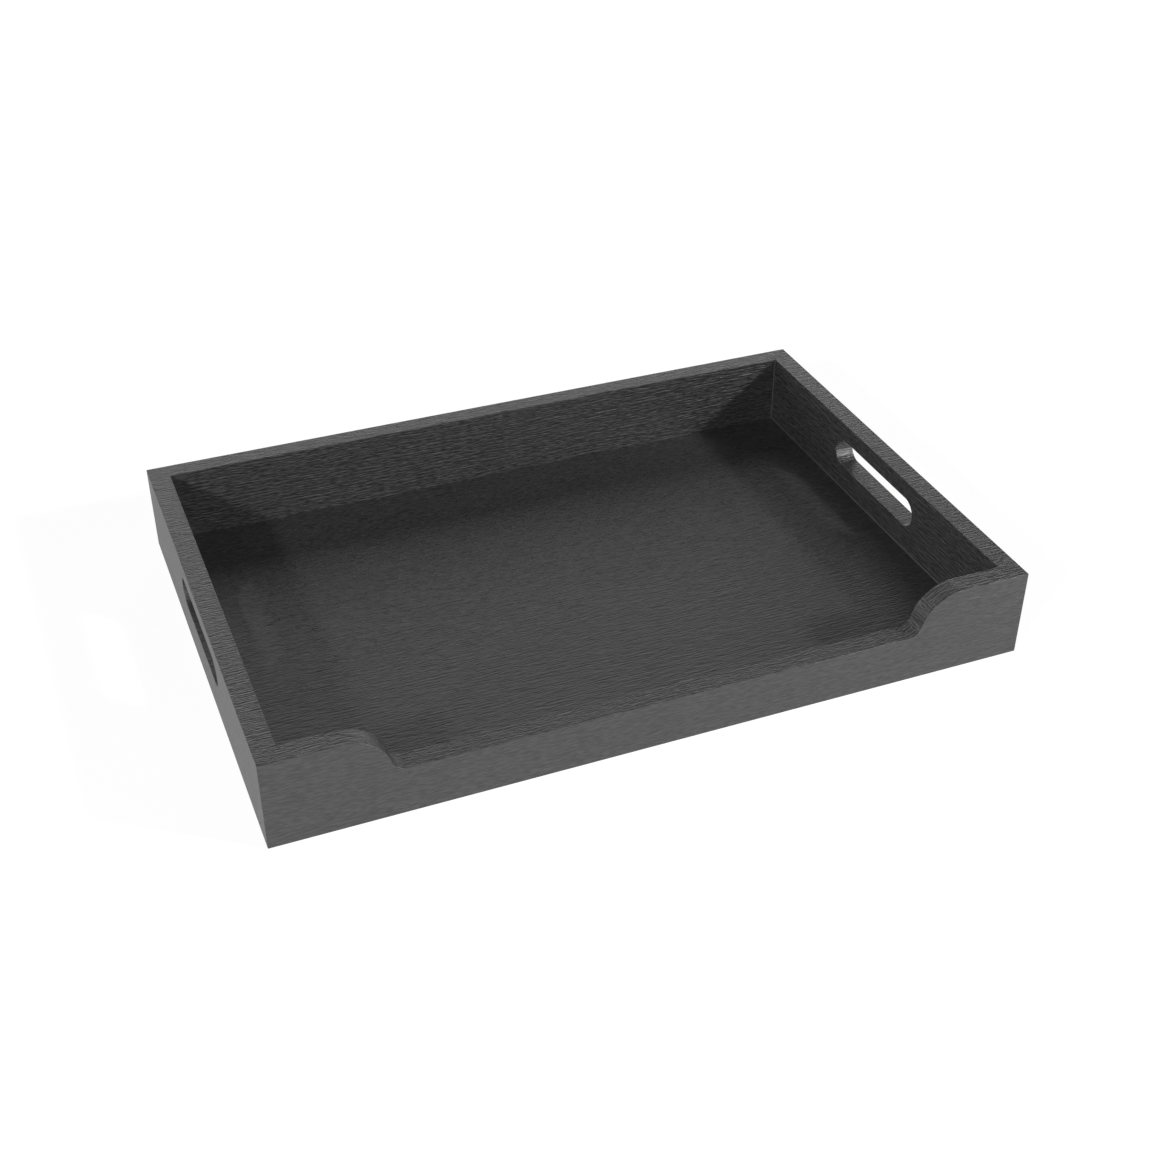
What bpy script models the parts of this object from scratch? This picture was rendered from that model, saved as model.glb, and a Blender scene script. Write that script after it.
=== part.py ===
"""Serving tray of dark stained wood: four rails round a grooved-in panel, joined by hidden dowels.

The tray lies along X with its low front towards -Y. The origin is the centre of its footprint,
on the surface that it stands on. All lengths are in metres.
"""

import math

import bmesh
import bpy
from mathutils import Matrix

# Overall size
LENGTH = 0.500
WIDTH = 0.337
HEIGHT = 0.0615

# Rails
BOARD = 0.014
FRONT_HEIGHT = 0.0333
SHOULDER_FLAT = 0.048
SHOULDER_RADIUS = 0.029
SHOULDER_FOOT_RADIUS = 0.0085
EASED_EDGE = 0.0008

# Hand slots: the centre's height is a share of the end rail's height above the panel
SLOT_LENGTH = 0.107
SLOT_HEIGHT = 0.0212
SLOT_CENTRE_SHARE = 0.546

# Panel with a thinner rim, and the grooves that hold the rim
PANEL_THICKNESS = 0.006
PANEL_RECESS = 0.00375
RIM_THICKNESS = 0.004
RIM_REACH = 0.005
RIM_CHAMFER = 0.0006
GROOVE_SPARE_DEPTH = 0.0008

# Dowels: two in each corner, one above the other
DOWEL_RADIUS = 0.003
DOWEL_CHAMFER = 0.0008
DOWEL_FLUTE_DEPTH = 0.00015
DOWEL_IN_END_RAIL = 0.015
DOWEL_COVER = 0.0045
DOWEL_MARGIN = 0.011
DOWEL_END_ROOM = 0.0005

# Clearances
TOUCH_GAP = 0.0003
CUT_OVERRUN = 0.002

# Counts, angles and shares
SHOULDER_STEPS = 14
FOOT_STEPS = 7
SLOT_END_STEPS = 16
EASED_EDGE_STEPS = 2
DOWEL_FLUTES = 12
BORE_SIDES = 24
SHARP_ANGLE = math.radians(40)
CHAMFER_ANGLE = math.radians(60)
WELD_SHARE = 0.001
CAP_NORMAL_SHARE = 0.99

# Colours and surface values
STAINED_WOOD = (0.105, 0.105, 0.106, 1.0)
STAINED_VENEER = (0.085, 0.085, 0.086, 1.0)
PALE_BEECH = (0.60, 0.44, 0.28, 1.0)
STAIN_ROUGHNESS = 0.6
BEECH_ROUGHNESS = 0.75

# Sizes that follow from those above
HALF_LENGTH = LENGTH / 2
HALF_WIDTH = WIDTH / 2
INNER_HALF_LENGTH = HALF_LENGTH - BOARD
INNER_HALF_WIDTH = HALF_WIDTH - BOARD
LONG_RAIL_CENTRE = HALF_WIDTH - BOARD / 2
END_RAIL_CENTRE = HALF_LENGTH - BOARD / 2
END_RAIL_LENGTH = 2 * (INNER_HALF_WIDTH - TOUCH_GAP)
PANEL_TOP = PANEL_RECESS + PANEL_THICKNESS
PANEL_LENGTH = 2 * (INNER_HALF_LENGTH + RIM_REACH)
PANEL_WIDTH = 2 * (INNER_HALF_WIDTH + RIM_REACH)
RIM_CENTRE_HEIGHT = PANEL_RECESS + RIM_THICKNESS / 2
GROOVE_HEIGHT = RIM_THICKNESS + 2 * TOUCH_GAP
GROOVE_DEPTH = RIM_REACH + GROOVE_SPARE_DEPTH
STOPPED_GROOVE_LENGTH = PANEL_LENGTH + 2 * TOUCH_GAP + GROOVE_HEIGHT
SLOT_CENTRE_HEIGHT = PANEL_TOP + SLOT_CENTRE_SHARE * (HEIGHT - PANEL_TOP)
DOWEL_IN_LONG_RAIL = BOARD - DOWEL_COVER
DOWEL_LENGTH = DOWEL_IN_LONG_RAIL + DOWEL_IN_END_RAIL - 2 * DOWEL_END_ROOM
DOWEL_CENTRE = INNER_HALF_WIDTH + (DOWEL_IN_LONG_RAIL - DOWEL_IN_END_RAIL) / 2
BORE_RADIUS = DOWEL_RADIUS + TOUCH_GAP
BORE_LENGTH = DOWEL_IN_LONG_RAIL + DOWEL_IN_END_RAIL
LOWER_DOWEL_HEIGHT = PANEL_TOP + DOWEL_MARGIN
UPPER_DOWEL_HEIGHT = HEIGHT - DOWEL_MARGIN

# A flat outline is drawn in x and y, and stood up so that its y becomes the height
FACING_FRONT = Matrix.Rotation(math.pi / 2, 4, "X")
FACING_END = Matrix.Rotation(math.pi / 2, 4, "Z") @ FACING_FRONT

# A cylinder is made upright, and laid along the tray's width
LYING = Matrix.Rotation(math.pi / 2, 4, "X")


def clear_scene():
    """Removes every object that the scene holds."""
    for old in list(bpy.data.objects):
        bpy.data.objects.remove(old, do_unlink=True)


def new_collection(name):
    """A collection in the scene."""
    collection = bpy.data.collections.new(name)
    bpy.context.scene.collection.children.link(collection)
    return collection


def new_material(name, colour, roughness):
    """A plain surface with one colour and one roughness."""
    material = bpy.data.materials.new(name)
    material.use_nodes = True
    shader = material.node_tree.nodes["Principled BSDF"]
    shader.inputs["Base Color"].default_value = colour
    shader.inputs["Roughness"].default_value = roughness
    shader.inputs["Metallic"].default_value = 0
    material.diffuse_color = colour
    return material


def arc(centre, radius, start, end, steps):
    """Points round a centre, from one angle to the other."""
    angles = [start + (end - start) * step / steps for step in range(steps + 1)]
    return [(centre[0] + radius * math.cos(a), centre[1] + radius * math.sin(a)) for a in angles]


def back_outline():
    """A plain board's lower edge, then its top, with points where the end rails meet it."""
    bottom = [(-HALF_LENGTH, 0), (HALF_LENGTH, 0)]
    top = [(HALF_LENGTH, HEIGHT), (INNER_HALF_LENGTH, HEIGHT)]
    return bottom, top + [(-x, z) for x, z in reversed(top)]


def front_outline():
    """The same board, with its middle cut down between two round shoulders."""
    reach = SHOULDER_RADIUS + SHOULDER_FOOT_RADIUS
    overlap = max(reach - (HEIGHT - FRONT_HEIGHT), 0)
    span = math.sqrt(reach**2 - overlap**2)
    tilt = math.asin(overlap / reach)
    crown = (HALF_LENGTH - SHOULDER_FLAT, HEIGHT - SHOULDER_RADIUS)
    foot = (crown[0] - span, FRONT_HEIGHT + SHOULDER_FOOT_RADIUS)
    shoulder = [(HALF_LENGTH, HEIGHT), (INNER_HALF_LENGTH, HEIGHT)]
    shoulder += arc(crown, SHOULDER_RADIUS, math.pi / 2, math.pi - tilt, SHOULDER_STEPS)
    shoulder += arc(foot, SHOULDER_FOOT_RADIUS, -tilt, -math.pi / 2, FOOT_STEPS)
    bottom, _ = back_outline()
    return bottom, shoulder + [(-x, z) for x, z in reversed(shoulder)]


def stadium(length, height, centre_height):
    """A slot's outline: two straight sides and two half-round ends."""
    radius = height / 2
    reach = length / 2 - radius
    right = arc((reach, centre_height), radius, -math.pi / 2, math.pi / 2, SLOT_END_STEPS)
    left = arc((-reach, centre_height), radius, math.pi / 2, 3 * math.pi / 2, SLOT_END_STEPS)
    return right + left


def rectangle(length, height):
    """A board's outline, standing on its lower edge."""
    return [(-length / 2, 0), (length / 2, 0), (length / 2, height), (-length / 2, height)]


def flat_solid(name, outlines, thickness, stand, location):
    """Gives closed outlines a thickness. A second outline inside the first is a hole."""
    curve = bpy.data.curves.new(name, "CURVE")
    curve.dimensions = "2D"
    curve.fill_mode = "BOTH"
    curve.extrude = thickness / 2
    for outline in outlines:
        spline = curve.splines.new("POLY")
        spline.points.add(len(outline) - 1)
        for point, (x, y) in zip(spline.points, outline):
            point.co = (x, y, 0, 1)
        spline.use_cyclic_u = True
    drawn = bpy.data.objects.new(name + "_outline", curve)
    drawn.matrix_world = Matrix.Translation(location) @ stand
    bpy.context.scene.collection.objects.link(drawn)
    bpy.context.view_layer.update()
    evaluated = drawn.evaluated_get(bpy.context.evaluated_depsgraph_get())
    mesh = bpy.data.meshes.new_from_object(evaluated)
    mesh.name = name
    weld_caps(mesh, thickness * WELD_SHARE)
    solid = bpy.data.objects.new(name, mesh)
    solid.matrix_world = drawn.matrix_world.copy()
    bpy.data.objects.remove(drawn, do_unlink=True)
    bpy.data.curves.remove(curve)
    return solid


def weld_caps(mesh, distance):
    """Joins an outline's two caps to its wall, and turns the faces outward."""
    shape = bmesh.new()
    shape.from_mesh(mesh)
    bmesh.ops.remove_doubles(shape, verts=shape.verts, dist=distance)
    bmesh.ops.recalc_face_normals(shape, faces=shape.faces)
    shape.to_mesh(mesh)
    shape.free()


def merge_caps(mesh):
    """Makes one face of each flat cap that has no hole."""
    shape = bmesh.new()
    shape.from_mesh(mesh)
    for side in (-1, 1):
        cap = [face for face in shape.faces if face.normal.z * side > CAP_NORMAL_SHARE]
        bmesh.ops.dissolve_faces(shape, faces=cap, use_verts=False)
    shape.to_mesh(mesh)
    shape.free()


def box_solid(name, size, location):
    """A box about its centre."""
    shape = bmesh.new()
    bmesh.ops.create_cube(shape, size=1)
    bmesh.ops.scale(shape, verts=shape.verts, vec=size)
    mesh = bpy.data.meshes.new(name)
    shape.to_mesh(mesh)
    shape.free()
    solid = bpy.data.objects.new(name, mesh)
    solid.matrix_world = Matrix.Translation(location)
    return solid


def round_solid(name, radius, length, sides, location):
    """A cylinder that lies along the tray's width."""
    shape = bmesh.new()
    bmesh.ops.create_cone(
        shape, cap_ends=True, segments=sides, radius1=radius, radius2=radius, depth=length
    )
    mesh = bpy.data.meshes.new(name)
    shape.to_mesh(mesh)
    shape.free()
    solid = bpy.data.objects.new(name, mesh)
    solid.matrix_world = Matrix.Translation(location) @ LYING
    return solid


def ease_edges(solid, is_eased, width=EASED_EDGE, steps=EASED_EDGE_STEPS):
    """Takes off the sharp edges whose middle, in the tray's own frame, passes the test."""
    shape = bmesh.new()
    shape.from_mesh(solid.data)
    weight = shape.edges.layers.float.new("bevel_weight_edge")
    for edge in shape.edges:
        middle = solid.matrix_world @ ((edge.verts[0].co + edge.verts[1].co) / 2)
        if edge.calc_face_angle() > SHARP_ANGLE and is_eased(middle):
            edge[weight] = 1
    shape.to_mesh(solid.data)
    shape.free()
    bevel = solid.modifiers.new("eased_edges", "BEVEL")
    bevel.limit_method = "WEIGHT"
    bevel.width = width
    bevel.segments = steps
    bevel.use_clamp_overlap = False


def cut(solid, cutter, cutters):
    """Takes a cutter's shape out of a solid."""
    cutters.objects.link(cutter)
    cutter.hide_render = True
    cutter.display_type = "WIRE"
    boolean = solid.modifiers.new(cutter.name, "BOOLEAN")
    boolean.operation = "DIFFERENCE"
    boolean.solver = "EXACT"
    boolean.object = cutter


def finish(solid, material, parts):
    """Puts a solid in the tray's collection, smoothly shaded and with its own material."""
    solid.data.materials.clear()
    solid.data.materials.append(material)
    solid.data.shade_smooth()
    solid.data.set_sharp_from_angle(angle=SHARP_ANGLE)
    shading = solid.modifiers.new("even_shading", "WEIGHTED_NORMAL")
    shading.keep_sharp = True
    parts.objects.link(solid)


def dowel_places():
    """Name, side along the length, side along the width and height of each dowel."""
    heights = {"lower": LOWER_DOWEL_HEIGHT, "upper": UPPER_DOWEL_HEIGHT}
    for corner, front in (("front", -1), ("back", 1)):
        for end, side in (("left", -1), ("right", 1)):
            for level, height in heights.items():
                yield f"{corner}_{end}_{level}", side, front, height


def bore(rail, place, side, front, height, cutters):
    """Drills one straight bore through the joint, deep enough for the dowel in both rails."""
    cutter = round_solid(
        f"{rail.name}_bore_{place}",
        BORE_RADIUS,
        BORE_LENGTH,
        BORE_SIDES,
        (side * END_RAIL_CENTRE, front * DOWEL_CENTRE, height),
    )
    cut(rail, cutter, cutters)


def long_rail(name, outline, front, parts, cutters):
    """Front or back rail: a full-length board with a stopped groove in its inner face."""
    bottom, top = outline
    rail = flat_solid(
        name, [bottom + top], BOARD, FACING_FRONT, (0, front * LONG_RAIL_CENTRE, 0)
    )
    merge_caps(rail.data)
    inner_face = front * INNER_HALF_WIDTH

    def is_eased(middle):
        in_joint = abs(middle.x) > INNER_HALF_LENGTH
        return not (in_joint and math.isclose(middle.y, inner_face, abs_tol=TOUCH_GAP))

    ease_edges(rail, is_eased)
    groove = flat_solid(
        name + "_groove",
        [stadium(STOPPED_GROOVE_LENGTH, GROOVE_HEIGHT, RIM_CENTRE_HEIGHT)],
        GROOVE_DEPTH + CUT_OVERRUN,
        FACING_FRONT,
        (0, inner_face + front * (GROOVE_DEPTH - CUT_OVERRUN) / 2, 0),
    )
    cut(rail, groove, cutters)
    for place, side, dowel_front, height in dowel_places():
        if dowel_front == front:
            bore(rail, place, side, front, height, cutters)
    finish(rail, new_material(name + "_wood", STAINED_WOOD, STAIN_ROUGHNESS), parts)


def end_rail(name, side, parts, cutters):
    """Left or right rail: a board between the long rails, with a hand slot and a groove."""
    board = rectangle(END_RAIL_LENGTH, HEIGHT)
    slot = stadium(SLOT_LENGTH, SLOT_HEIGHT, SLOT_CENTRE_HEIGHT)
    rail = flat_solid(name, [board, slot], BOARD, FACING_END, (side * END_RAIL_CENTRE, 0, 0))
    inner_face = side * INNER_HALF_LENGTH

    def is_eased(middle):
        return abs(middle.y) < END_RAIL_LENGTH / 2 - TOUCH_GAP

    ease_edges(rail, is_eased)
    groove = box_solid(
        name + "_groove",
        (GROOVE_DEPTH + CUT_OVERRUN, END_RAIL_LENGTH + 2 * CUT_OVERRUN, GROOVE_HEIGHT),
        (inner_face + side * (GROOVE_DEPTH - CUT_OVERRUN) / 2, 0, RIM_CENTRE_HEIGHT),
    )
    cut(rail, groove, cutters)
    for place, dowel_side, front, height in dowel_places():
        if dowel_side == side:
            bore(rail, place, side, front, height, cutters)
    finish(rail, new_material(name + "_wood", STAINED_WOOD, STAIN_ROUGHNESS), parts)


def raise_floor(mesh):
    """Raises a thin board's upper face to the panel's full thickness, all but its rim."""
    shape = bmesh.new()
    shape.from_mesh(mesh)
    floor = [face for face in shape.faces if face.normal.z > CAP_NORMAL_SHARE]
    rim = RIM_REACH + TOUCH_GAP
    bmesh.ops.inset_region(shape, faces=floor, thickness=rim, use_even_offset=True)
    bmesh.ops.inset_region(shape, faces=floor, depth=PANEL_THICKNESS - RIM_THICKNESS)
    shape.to_mesh(mesh)
    shape.free()


def base_panel(parts):
    """A panel whose rim stands in the rails' grooves, chamfered so that it slides in."""
    panel = box_solid(
        "base_panel",
        (PANEL_LENGTH, PANEL_WIDTH, RIM_THICKNESS),
        (0, 0, RIM_CENTRE_HEIGHT),
    )
    raise_floor(panel.data)

    def is_rim(middle):
        return abs(middle.x) > INNER_HALF_LENGTH or abs(middle.y) > INNER_HALF_WIDTH

    ease_edges(panel, is_rim, RIM_CHAMFER, 1)
    finish(panel, new_material("base_panel_veneer", STAINED_VENEER, STAIN_ROUGHNESS), parts)


def dowel(place, side, front, height, parts):
    """A fluted pin across the joint between an end rail and a long rail."""
    name = "dowel_" + place
    location = (side * END_RAIL_CENTRE, front * DOWEL_CENTRE, height)
    pin = round_solid(name, DOWEL_RADIUS, DOWEL_LENGTH, 2 * DOWEL_FLUTES, location)
    flute = (DOWEL_RADIUS - DOWEL_FLUTE_DEPTH) / DOWEL_RADIUS
    for vertex in pin.data.vertices:
        turn = round(math.atan2(vertex.co.y, vertex.co.x) * DOWEL_FLUTES / math.pi)
        if turn % 2:
            vertex.co.x *= flute
            vertex.co.y *= flute
    chamfer = pin.modifiers.new("chamfer", "BEVEL")
    chamfer.limit_method = "ANGLE"
    chamfer.angle_limit = CHAMFER_ANGLE
    chamfer.width = DOWEL_CHAMFER
    chamfer.segments = 1
    finish(pin, new_material(name + "_beech", PALE_BEECH, BEECH_ROUGHNESS), parts)


def main():
    """Builds the tray, one named object for each piece."""
    clear_scene()
    parts = new_collection("serving_tray")
    cutters = new_collection("cutters")
    long_rail("front_rail", front_outline(), -1, parts, cutters)
    long_rail("back_rail", back_outline(), 1, parts, cutters)
    end_rail("left_end_rail", -1, parts, cutters)
    end_rail("right_end_rail", 1, parts, cutters)
    base_panel(parts)
    for place, side, front, height in dowel_places():
        dowel(place, side, front, height, parts)


if __name__ == "__main__":
    main()
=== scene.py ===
"""Scene for a low serving tray: four rails of black-stained, wire-brushed ash round a veneered panel.

The tray lies along X with its low front towards -Y, and stands on the plane z = 0. Every length
is in metres unless its name ends in _mm, and every piece is drawn in the tray's own frame.
"""

import logging
import math
from collections.abc import Callable, Sequence
from dataclasses import dataclass, field
from enum import Enum

import bmesh
import bpy
from mathutils import Matrix, Vector


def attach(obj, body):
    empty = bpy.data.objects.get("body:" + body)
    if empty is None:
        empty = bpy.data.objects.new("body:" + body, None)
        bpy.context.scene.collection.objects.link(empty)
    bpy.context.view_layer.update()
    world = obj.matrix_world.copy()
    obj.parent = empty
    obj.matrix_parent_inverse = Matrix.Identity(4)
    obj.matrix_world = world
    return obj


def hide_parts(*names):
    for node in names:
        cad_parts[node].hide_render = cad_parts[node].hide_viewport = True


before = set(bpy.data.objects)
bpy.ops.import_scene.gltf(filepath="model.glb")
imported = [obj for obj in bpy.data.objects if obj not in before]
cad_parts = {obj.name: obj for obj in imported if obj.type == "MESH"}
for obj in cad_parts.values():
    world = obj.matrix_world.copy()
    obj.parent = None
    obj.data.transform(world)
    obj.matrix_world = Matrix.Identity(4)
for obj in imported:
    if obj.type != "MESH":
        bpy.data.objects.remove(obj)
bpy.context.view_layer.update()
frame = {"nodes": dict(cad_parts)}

LOG = logging.getLogger("tray")
BODY = "root"
MM = 0.001
CORNER_ANGLE = math.radians(35)
CREASE_ANGLE = math.radians(10)
CAP_NORMAL_SHARE = 0.99
WELD_SHARE = 0.001

# A face looks along an axis where its normal's part along that axis is over this
LOOKS_ALONG = math.sqrt(0.5)

# A noise texture lies about its middle, and strays about this far to each side
NOISE_MIDDLE = 0.5
NOISE_REACH = 0.25

# The places of a Mix node's sockets, of which several share a name
FACTOR = 0
VECTOR_A, VECTOR_B, VECTOR_RESULT = 4, 5, 1
COLOUR_A, COLOUR_B, COLOUR_RESULT = 6, 7, 2

Point = tuple[float, float]
Place = tuple[float, float, float]
SocketValue = object

# An outline is drawn flat, and stood up so that its y becomes the height
FACING_FRONT = Matrix.Rotation(math.pi / 2, 4, "X")
FACING_END = Matrix.Rotation(math.pi / 2, 4, "Z") @ FACING_FRONT


class Side(Enum):
    """Which way a long rail lies from the tray's middle, along Y."""

    FRONT = -1
    BACK = 1


class End(Enum):
    """Which way an end rail lies from the tray's middle, along X."""

    LEFT = -1
    RIGHT = 1


class Slot(Enum):
    """The record's material slots of the new pieces, which settle is given but does not use."""

    RAILS = "stained_rails"
    PANEL = "stained_panel"


def linear(hex_colour: str) -> tuple[float, float, float, float]:
    """Turns an sRGB hex colour into the linear one that shaders take.

    Args:
        hex_colour: Six hex digits after a hash, such as "#2a2a2a".

    Returns:
        Linear red, green, blue and an alpha of 1.
    """
    shares = [int(hex_colour[start:start + 2], 16) / 255 for start in (1, 3, 5)]
    light = [s / 12.92 if s <= 0.04045 else ((s + 0.055) / 1.055) ** 2.4 for s in shares]
    return light[0], light[1], light[2], 1.0


def add_node(
    tree: bpy.types.NodeTree, kind: str, inputs: dict[int | str, SocketValue] | None = None,
    **settings: object,
) -> bpy.types.Node:
    """Adds one node with its settings, input values and links.

    Args:
        tree: The node tree that gets it.
        kind: The node's type name.
        inputs: Input name or place, with a value or the output socket that feeds it.
        **settings: The node's own attributes.

    Returns:
        The new node.
    """
    node = tree.nodes.new(kind)
    for name, value in settings.items():
        setattr(node, name, value)
    for place, value in (inputs or {}).items():
        if isinstance(value, bpy.types.NodeSocket):
            tree.links.new(value, node.inputs[place])
        else:
            node.inputs[place].default_value = value
    return node


def empty_material(name: str) -> bpy.types.Material:
    """A material whose node tree holds nothing yet."""
    material = bpy.data.materials.new(name)
    material.use_nodes = True
    material.node_tree.nodes.clear()
    return material


@dataclass(frozen=True)
class OpenGrain:
    """The relief of brushed open-grain wood, by the sizes of its ridges and pores.

    A real pore or torn fibre of ash is about 0.3 mm wide, finer than a pixel of the render, so
    both are drawn about 0.9 mm wide, as coarse as they need to show.

    Attributes:
        ridge_mm: A ridge of hard late wood, length and width.
        dash_mm: A short torn fibre, length and width.
        pore_mm: An open pore, length and width.
        wander_mm: How far the grain strays sideways, and over what length and width.
        relief: How high the ridges stand, in metres.
        ridge_fineness: How many finer octaves the ridges carry.
        ridge_falloff: How strong each of these is beside the one before.
        dash_share: How high a torn fibre stands beside a ridge.
        pore_share: How deep a pore is beside a ridge's height.
        shade_share: How far a ridge's height moves the colour from the stain's to the rubbed one.
        fleck_share: How far a torn fibre does so by itself.
        top_size: How long and wide the ridges are on a piece's top, beside its other faces.
        pore_edge: From where to where a pore's wall goes down, in its noise.
    """

    ridge_mm: Point = (20.0, 1.5)
    dash_mm: Point = (5.0, 0.9)
    pore_mm: Point = (7.0, 0.9)
    wander_mm: tuple[float, float, float] = (0.45, 60.0, 20.0)
    relief: float = 0.0006
    ridge_fineness: float = 1.0
    ridge_falloff: float = 0.3
    dash_share: float = 0.5
    pore_share: float = 0.1
    shade_share: float = 1.0
    fleck_share: float = 1.6
    top_size: Point = (0.55, 0.85)
    pore_edge: tuple[float, float] = (0.60, 0.74)


@dataclass(frozen=True)
class StainedAsh:
    """Ash, wire-brushed, stained near-black and sealed with a thin matt lacquer.

    Brushing takes the soft early wood out, so that light from the side picks out short ridges.
    The stain hides the wood's colour, and the lacquer gives a low, wide sheen.

    Attributes:
        name: The material's name.
        stain: The colour of the low places, where the stain gathers.
        rubbed: The colour of the ridges, where it was rubbed thin.
        pore: The colour in an open pore.
        roughness: The lacquer's middle roughness.
        roughness_spread: How far the torn fibres move it to each side.
        specular_level: How strongly the lacquer mirrors.
        cloud_mm: A slow patch of darker or paler stain, length and width.
        cloud_share: How far such a patch moves the colour.
        grain: The relief.
    """

    name: str = "black_stained_brushed_ash"
    stain: str = "#181818"
    rubbed: str = "#393939"
    pore: str = "#1c1c1c"
    roughness: float = 0.47
    roughness_spread: float = 0.06
    specular_level: float = 0.92
    cloud_mm: Point = (120.0, 35.0)
    cloud_share: float = 0.3
    grain: OpenGrain = field(default_factory=OpenGrain)

    def stretched(
        self, tree: bpy.types.NodeTree, place: bpy.types.NodeSocket, cell_mm: Point,
        detail: float, roughness: float = 0.5,
    ) -> bpy.types.NodeSocket:
        """Noise whose cells are longer along the grain than across it.

        Args:
            tree: The material's node tree.
            place: The point in millimetres, with the grain along its X.
            cell_mm: A cell's length and width.
            detail: How many finer octaves it carries.
            roughness: How strong each finer octave is.

        Returns:
            The noise's value.
        """
        length, width = cell_mm
        scaled = add_node(
            tree, "ShaderNodeVectorMath", {0: place, 1: (1 / length, 1 / width, 1 / width)},
            operation="MULTIPLY",
        )
        noise = add_node(
            tree, "ShaderNodeTexNoise",
            {"Vector": scaled.outputs[0], "Scale": 1.0, "Detail": detail, "Roughness": roughness},
        )
        return noise.outputs["Fac"]

    def grain_place(self, tree: bpy.types.NodeTree) -> bpy.types.NodeSocket:
        """The point on a face in millimetres, laid so that X runs with the grain, and let wander.

        The grain runs along the tray's length, and across it on the faces that look along
        the length. It is laid on flat from the side that a face looks to, as veneer is, so that
        the lines stay straight where an edge curves. On the tops it is drawn in by top_size.

        Args:
            tree: The material's node tree.

        Returns:
            The point.
        """
        where = add_node(tree, "ShaderNodeTexCoord")
        facing = add_node(tree, "ShaderNodeSeparateXYZ", {0: where.outputs["Normal"]})
        looks = {}
        for axis in ("X", "Z"):
            size = add_node(tree, "ShaderNodeMath", {0: facing.outputs[axis]}, operation="ABSOLUTE")
            looks[axis] = add_node(
                tree, "ShaderNodeMath", {0: size.outputs[0], 1: LOOKS_ALONG},
                operation="GREATER_THAN",
            )
        in_mm = add_node(
            tree, "ShaderNodeVectorMath", {0: where.outputs["Object"], "Scale": 1 / MM},
            operation="SCALE",
        )
        parts = add_node(tree, "ShaderNodeSeparateXYZ", {0: in_mm.outputs[0]})
        front, top, end = (
            add_node(
                tree, "ShaderNodeCombineXYZ", {"X": parts.outputs[with_grain], "Y": parts.outputs[over]}
            )
            for with_grain, over in (("X", "Z"), ("X", "Y"), ("Y", "Z"))
        )
        length, width = self.grain.top_size
        closer = add_node(
            tree, "ShaderNodeVectorMath", {0: top.outputs[0], 1: (1 / length, 1 / width, 1.0)},
            operation="MULTIPLY",
        )
        front_or_top = add_node(
            tree, "ShaderNodeMix",
            {FACTOR: looks["Z"].outputs[0], VECTOR_A: front.outputs[0], VECTOR_B: closer.outputs[0]},
            data_type="VECTOR",
        ).outputs[VECTOR_RESULT]
        along = add_node(
            tree, "ShaderNodeMix",
            {FACTOR: looks["X"].outputs[0], VECTOR_A: front_or_top, VECTOR_B: end.outputs[0]},
            data_type="VECTOR",
        ).outputs[VECTOR_RESULT]
        shift, length, width = self.grain.wander_mm
        slow = add_node(
            tree, "ShaderNodeVectorMath",
            {0: along, 1: (1 / length, 1 / width, 1 / width)}, operation="MULTIPLY",
        )
        drift = add_node(
            tree, "ShaderNodeTexNoise", {"Vector": slow.outputs[0], "Scale": 1.0, "Detail": 1.0}
        )
        centred = add_node(
            tree, "ShaderNodeVectorMath", {0: drift.outputs["Color"], 1: (NOISE_MIDDLE,) * 3},
            operation="SUBTRACT",
        )
        sideways = shift / NOISE_REACH
        strayed = add_node(
            tree, "ShaderNodeVectorMath",
            {0: centred.outputs[0], 1: (0.0, sideways, sideways), 2: along},
            operation="MULTIPLY_ADD",
        )
        return strayed.outputs[0]

    def material(self) -> bpy.types.Material:
        """Builds the finish.

        Returns:
            The material.
        """
        made = empty_material(self.name)
        tree = made.node_tree
        grain = self.grain
        place = self.grain_place(tree)
        ridge = self.stretched(
            tree, place, grain.ridge_mm, grain.ridge_fineness, grain.ridge_falloff
        )
        dash = self.stretched(tree, place, grain.dash_mm, 0.0)
        pore_field = self.stretched(tree, place, grain.pore_mm, 0.0)
        cloud = self.stretched(tree, place, self.cloud_mm, 2.0)
        pore = add_node(
            tree, "ShaderNodeMapRange",
            {"Value": pore_field, "From Min": grain.pore_edge[0], "From Max": grain.pore_edge[1]},
            interpolation_type="SMOOTHSTEP",
        ).outputs[0]
        brushed = add_node(
            tree, "ShaderNodeMath", {0: dash, 1: grain.dash_share, 2: ridge},
            operation="MULTIPLY_ADD",
        )
        height = add_node(
            tree, "ShaderNodeMath", {0: pore, 1: -grain.pore_share, 2: brushed.outputs[0]},
            operation="MULTIPLY_ADD",
        )
        bump = add_node(
            tree, "ShaderNodeBump",
            {"Height": height.outputs[0], "Distance": grain.relief, "Strength": 1.0},
        )
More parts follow.
